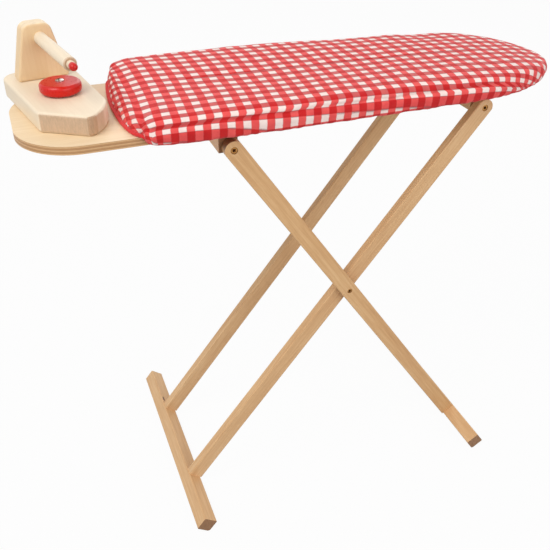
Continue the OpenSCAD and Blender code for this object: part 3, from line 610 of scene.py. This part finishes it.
def cover_rings():
    """Rings of cloth points from the hem to the shoulder, then on to the board's middle line, and their
    places on the flat cloth."""
    points, normals, at, total = outline()
    n = len(points)
    x, y = points.T
    run = corner_run(x, y)
    end = smooth(COVER_X0 - x, *END_EDGE)
    wraps = 1 - np.exp(-np.clip(run + WRAP_EARLY, 0, None) / WRAP_RUN)
    tip = tip_share(x) ** 2
    hem_wave = wave(at, total, *HEM_WAVES)
    slow_wave = wave(at, total, *SLOW_WAVES)
    fold = wave(at, total, *GATHER_WAVES)
    # Room outside the panel's side edge, where the cloth can't lie under it yet
    room = np.clip(np.abs(y) - PANEL_W / 2 - EDGE_GAP, LEAST_ROOM, None)
    under = smooth(wraps, *UNDER_TURN)
    before_tip = 1 - smooth(x, CREASE_FROM, CREASE_TO)
    far_corner = rest_side(x) * smooth(x - COVER_X0, *BULGE_RUN) * smooth(y, *BULGE_ACROSS)
    rows = []
    for k, (z, z_tip, inset) in enumerate(PROFILE):
        height = z + (z_tip - z) * tip
        depth = np.full(n, inset)
        if k <= BELOW:
            part = k / BELOW
            height = height * wraps + (FOOT_Z + FOOT_RISE * part ** 1.5) * (1 - wraps)
            depth = depth * wraps + FOOT_IN * (1 - part) ** 2 * (1 - wraps)
            depth = np.where(run > 0, np.minimum(depth, room) * (1 - under) + depth * under, depth)
            loose = wraps * (1 - smooth(k, *LOOSE_ROWS))
            depth = depth + (HEM_IN[0] * hem_wave + HEM_IN[1] * slow_wave) * loose
            height = height + (HEM_UP[0] * hem_wave + HEM_UP[1] * slow_wave) * loose
        rise = smooth(height, 0, WALL_RISE)
        bulge = np.exp(-((height - WALL_RISE / 2) / BULGE_H) ** 2)
        gathers = (GATHER_IN + GATHER * fold) * (1 - GATHER_GONE * rise) * smooth(height, *GATHER_FOOT)
        depth = depth + end * (gathers - END_BULGE * bulge)
        depth = depth + end * end_arc(y) * (1 - ARC_GONE * rise)
        depth = depth + end * rise * (END_LEAN + LEAN_WAVE * slow_wave)
        # A crease along the wall, where the pad's edge ends and the cloth turns down to the hem
        crease = np.exp(-((height - CREASE_Z - CREASE_WAVE * slow_wave) / CREASE_W) ** 2) * before_tip
        nip = np.exp(-((height - NIP_Z) / NIP_W) ** 2)
        depth = depth + (1 - end) * (CREASE * crease + NIP * nip)
        depth = depth - FAR_BULGE * far_corner * rise
        p = points - normals * depth[:, None]
        height = np.where(height > 0, height * thinned(p[:, 0]), height)
        height = height + rise * puff(p[:, 0], p[:, 1])
        rows.append(np.column_stack([p, PANEL_Z + height]))
    flat_top = rows[-1][:, :2].copy()
    flat = [flat_top]
    reach = np.zeros(n)
    for k in range(len(rows) - 2, -1, -1):
        reach = reach + np.linalg.norm(rows[k] - rows[k + 1], axis=1)
        flat.insert(0, flat_top + normals * reach[:, None])
    middle = middle_line(flat_top)
    full = PAD_T + CROWN
    for j in range(1, TOP_RINGS + 1):
        t = j / TOP_RINGS
        p = flat_top * (1 - t) + middle * t
        z = full - (full - PROFILE[-1][0]) * (1 - min(1, t * PANEL_W / 2 / SHOULDER)) ** 2
        z = z * thinned(p[:, 0]) + puff(p[:, 0], p[:, 1])
        rows.append(np.column_stack([p, PANEL_Z + z]))
        flat.append(p.copy())
    rows = np.array(rows)
    for k in range(LUMPS_FROM, len(rows)):
        share = min(1.0, (k - LUMPS_FROM + 1) / LUMP_ROWS)
        for i in range(n):
            x, y = rows[k, i, :2]
            by_end = math.exp(-((x - COVER_X0 - FOLDS_AT) / FOLDS_RUN) ** 2)
            lumps = uneven(x, y, *LUMPS) + uneven(x, y, *SMALL_LUMPS)
            rows[k, i, 2] += share * (lumps + by_end * uneven(x, y, *FOLDS))
    return rows, np.array(flat), points, normals, end, run


cover_rows, cover_flat, cover_points, cover_normals, cover_end, cover_run = cover_rings()


# How the cloth lies on the board, in mm of cloth: where the middle of the board falls on it, how far it is
# taken up along and across, how it is turned, and how its rows bow and sway
LAY_AT = (28.3, 49.2)
TAKE_UP = (1.02, 1.08)
TURNED = (-0.020, 0.015)
ROW_BOW = 0.0005
SWAY, SWAY_RUN, SWAY_AT = 3.1, 320.0, 35.0
# A shift and a longer sway near the near edge alone, which grow between two distances from the middle
EDGE_SHIFT, EDGE_SWAY, EDGE_RUN, EDGE_AT = 2.0, 6.3, 540.0, 85.0
EDGE_FROM, EDGE_FULL = 40.0, 100.0
# Where the flat top ends, on both sides and at the iron's end and the tip
TOP_NEAR, TOP_FAR, TOP_END, TOP_TIP = -97.0, 92.0, -230.0, 330.0
# Heights of cloth on the end wall and on the near wall before it turns under, and the take-up below that
END_HIGH, WALL_HIGH, UNDER_TAKE = 24.0, 30.0, 0.35
# The near wall's least take-up, and how it grows with the square of the distance from x = WALL_AT
WALL_TAKE, WALL_MORE, WALL_AT = 1.17, 8e-6, 40.0
# Between these depths on the wall the drawn hem shifts the cloth along the board, the most at x = DRAWN_AT
DRAWN_FROM, DRAWN_FULL = 15.0, 23.0
DRAWN, DRAWN_LESS, DRAWN_AT = 5.5, 1.7e-4, -116.0
# The end wall's take-up, how it grows towards the far corner, and how its columns lean
END_TAKE, END_MORE, END_SKEW = 1.67, 0.0075, 1.43


def cloth_lay(flat):
    """Places on the woven cloth in mm, for places on the cover unrolled to the flat."""
    x = np.clip(flat[..., 0], TOP_END, TOP_TIP)
    y = np.clip(flat[..., 1], TOP_NEAR, TOP_FAR)
    along = LAY_AT[0] + TAKE_UP[0] * x + TURNED[0] * y + ROW_BOW * y ** 2
    across = LAY_AT[1] + TAKE_UP[1] * y + TURNED[1] * x
    across -= SWAY * np.sin(2 * math.pi * (x - SWAY_AT) / SWAY_RUN)
    edge_sway = EDGE_SWAY * np.sin(2 * math.pi * (x - EDGE_AT) / EDGE_RUN)
    across += smooth(-y, EDGE_FROM, EDGE_FULL) * (EDGE_SHIFT + edge_sway)
    # The near wall takes up more cloth towards both its ends, and the drawn hem shifts it along the board
    wall = np.clip(TOP_NEAR - flat[..., 1], 0, None)
    along += smooth(wall, DRAWN_FROM, DRAWN_FULL) * (DRAWN - DRAWN_LESS * (x - DRAWN_AT) ** 2)
    wall = np.minimum(wall, WALL_HIGH) + UNDER_TAKE * np.clip(wall - WALL_HIGH, 0, None)
    across -= wall * (WALL_TAKE + WALL_MORE * (x - WALL_AT) ** 2)
    # The end wall takes up most at its far corner, and its columns lean
    end = np.clip(TOP_END - flat[..., 0], 0, END_HIGH)
    along -= end * (END_TAKE + END_MORE * y)
    across -= end * END_SKEW
    along += np.clip(flat[..., 0] - TOP_TIP, 0, None) + np.clip(flat[..., 0] - TOP_END + END_HIGH, None, 0)
    across += np.clip(flat[..., 1] - TOP_FAR, 0, None)
    return np.stack([along, across], -1)


def ring_mesh(name, rings, uv=None, extra=()):
    """Mesh of quads between closed rings of points in mm, with extra faces by their points' numbers."""
    m, n = len(rings), len(rings[0])
    faces = []
    for k in range(m - 1):
        for i in range(n):
            j = (i + 1) % n
            faces.append((k * n + i, k * n + j, (k + 1) * n + j, (k + 1) * n + i))
    mesh = bpy.data.meshes.new(name)
    mesh.from_pydata([tuple(v) for v in np.asarray(rings).reshape(-1, 3) * MM], [], faces + list(extra))
    if uv is not None:
        layer = mesh.uv_layers.new(name="cloth")
        index = np.zeros(len(mesh.loops), int)
        mesh.loops.foreach_get("vertex_index", index)
        layer.data.foreach_set("uv", (uv.reshape(-1, 2) * MM)[index].astype(np.float32).ravel())
    mesh.polygons.foreach_set("use_smooth", [True] * len(mesh.polygons))
    mesh.update()
    obj = bpy.data.objects.new(name, mesh)
    scene.collection.objects.link(obj)
    return obj


# The cloth's thickness, and how near two points are merged, in m
CLOTH_T, MERGE = 0.0008, 0.00005


def build_cover():
    """The cover as one thick cloth, whose halves meet on the board's middle line."""
    obj = ring_mesh("cover_cloth", cover_rows, cloth_lay(cover_flat))
    obj.data.materials.append(gingham())
    work = bmesh.new()
    work.from_mesh(obj.data)
    bmesh.ops.remove_doubles(work, verts=work.verts, dist=MERGE)
    bmesh.ops.recalc_face_normals(work, faces=work.faces)
    if max(work.faces, key=lambda f: f.calc_center_median().z).normal.z < 0:
        bmesh.ops.reverse_faces(work, faces=work.faces)
    work.to_mesh(obj.data)
    work.free()
    thick = obj.modifiers.new("cloth_thickness", "SOLIDIFY")
    thick.thickness = CLOTH_T
    thick.offset = -1
    return obj


cover = build_cover()
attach(cover, "board")
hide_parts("cover")


# The folded tape in mm: half its width and height, and how much its width ripples
TAPE_HALF_W, TAPE_HALF_H, TAPE_RIPPLE = 2.6, 1.9, 0.25
# Its middle stands this far outside the outline and above the panel, and past a corner it ends after
# TAPE_RUN, drawing in and turning down on the way
TAPE_OUT, TAPE_Z, TAPE_RUN, TAPE_IN, TAPE_DOWN = 1.7, 2.2, 10.0, 0.28, 0.075
# Points round the tape, and the ripples along it, as for the waves round the outline
TAPE_RING, TAPE_WAVES = 14, (13, 40, 21)


def squared(c):
    """A cosine or sine c, changed so that its circle is drawn a little towards a square."""
    return math.copysign(abs(c) ** 0.75, c)


def build_binding():
    """A folded tape along the foot of the end wall, whose ends turn down over the panel's edges."""
    keep = np.where(cover_run < TAPE_RUN)[0]
    path = []
    for i in keep:
        past = max(0.0, float(cover_run[i]))
        x, y = cover_points[i] + cover_normals[i] * (TAPE_OUT - TAPE_IN * past)
        back = float(cover_end[i] * end_arc(cover_points[i][1]))
        path.append((x + back, y, PANEL_Z + TAPE_Z - TAPE_DOWN * past ** 2))
    path = np.array(path)
    m = len(path)
    tangent = np.gradient(path, axis=0)
    tangent /= np.linalg.norm(tangent, axis=1)[:, None]
    ripple = wave(np.arange(m) * 1.0, m, *TAPE_WAVES)
    rings = []
    for k in range(m):
        out = Vector((*cover_normals[keep[k]], 0)).normalized()
        up = Vector(tangent[k]).cross(out).normalized()
        if up.z < 0:
            up = -up
        wide = TAPE_HALF_W + TAPE_RIPPLE * ripple[k]
        ring = []
        for j in range(TAPE_RING):
            a = 2 * math.pi * j / TAPE_RING
            off = out * wide * squared(math.cos(a)) + up * TAPE_HALF_H * squared(math.sin(a))
            ring.append(tuple(Vector(path[k]) + off))
        rings.append(ring)
    caps = [tuple(range(TAPE_RING))[::-1], tuple((m - 1) * TAPE_RING + j for j in range(TAPE_RING))]
    obj = ring_mesh("binding_tape", rings, extra=caps)
    obj.data.materials.append(tape())
    return obj


binding = build_binding()
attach(binding, "board")
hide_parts("cover_binding")


# The foam in mm: heights above the panel with their insets, its top, and how far it comes out at the end wall
FOAM_PROFILE = [(0.5, 19.4), (2.0, 19.0), (10.0, 19.2), (14.0, 20.4), (17.0, 23.0), (18.6, 28.0),
                (19.4, 36.0)]
FOAM_TOP, FOAM_END = 19.8, 9.0


def build_foam():
    """A foam pad with rounded upper edges, a little inside the cloth, and thinner at the tip."""
    points, normals, end = cover_points[::4], cover_normals[::4], cover_end[::4]
    rings = []
    for z, inset in FOAM_PROFILE:
        p = points - normals * (inset - end * FOAM_END)[:, None]
        rings.append(np.column_stack([p, PANEL_Z + z * thinned(p[:, 0])]))
    middle = middle_line(points)
    edge = rings[-1][:, :2]
    for share in (0.25, 0.5, 0.75, 1.0):
        p = edge * (1 - share) + middle * share
        rings.append(np.column_stack([p, PANEL_Z + FOAM_TOP * thinned(p[:, 0])]))
    obj = ring_mesh("foam_pad", rings, extra=[tuple(range(len(points)))[::-1]])
    obj.data.materials.append(foam())
    return obj


pad = build_foam()
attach(pad, "board")
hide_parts("padding")


# The floor's half side and its drop below the feet in m, its grey, and its share of plain white
FLOOR_R, FLOOR_DROP, FLOOR_TONE, FLOOR_WHITE = 9.0, 0.0005, 0.55, 0.96
# Strength of the world's light on the object
WORLD_LIGHT = 0.52


def seen_white(g):
    """1 for the rays to which the studio is plain white: the camera's, and those in mirrors and glass."""
    path = g.add("ShaderNodeLightPath")
    return g.math("MAXIMUM", path.outputs["Is Camera Ray"],
                  g.math("MAXIMUM", path.outputs["Is Glossy Ray"], path.outputs["Is Transmission Ray"]))


def build_floor():
    """A floor that takes faint shadows and is otherwise as white as the world."""
    mesh = bpy.data.meshes.new("floor")
    r = FLOOR_R
    mesh.from_pydata([(-r, -r, 0), (r, -r, 0), (r, r, 0), (-r, r, 0)], [], [(0, 1, 2, 3)])
    obj = bpy.data.objects.new("floor", mesh)
    scene.collection.objects.link(obj)
    g = Graph("floor_white")
    g.set(Base_Color=(FLOOR_TONE, FLOOR_TONE, FLOOR_TONE, 1), Roughness=0.9, Specular_IOR_Level=0.0)
    glow = g.add("ShaderNodeEmission")
    blend = g.add("ShaderNodeMixShader")
    g.put(blend.inputs[0], g.math("MULTIPLY", seen_white(g), FLOOR_WHITE))
    g.put(blend.inputs[1], g.shader.outputs[0])
    g.put(blend.inputs[2], glow.outputs[0])
    g.put(g.tree.nodes["Material Output"].inputs["Surface"], blend.outputs[0])
    mesh.materials.append(g.owner)
    obj.location.z = -FLOOR_DROP


build_floor()


def build_world():
    scene.world = bpy.data.worlds.new("studio")
    g = Graph("studio", scene.world)
    g.set(Color=(1, 1, 1, 1), Strength=g.remap(seen_white(g), 0.0, 1.0, WORLD_LIGHT, 1.0))


build_world()


def area_light(name, at, target, size, power):
    """A round lamp at the place at, which faces target."""
    data = bpy.data.lights.new(name, "AREA")
    data.shape = "DISK"
    data.size = size
    data.energy = power
    obj = bpy.data.objects.new(name, data)
    scene.collection.objects.link(obj)
    obj.location = at
    obj.rotation_euler = (Vector(target) - Vector(at)).to_track_quat("-Z", "Y").to_euler()


# Lamps: place and target in m, diameter and power
area_light("key", (-1.5, -0.7, 2.3), (0, 0, 0.5), 1.6, 33)
area_light("fill", (0.9, -2.2, 1.4), (0, 0, 0.4), 2.2, 23)
area_light("back", (0.8, 2.0, 1.9), (0, 0, 0.5), 1.8, 12)
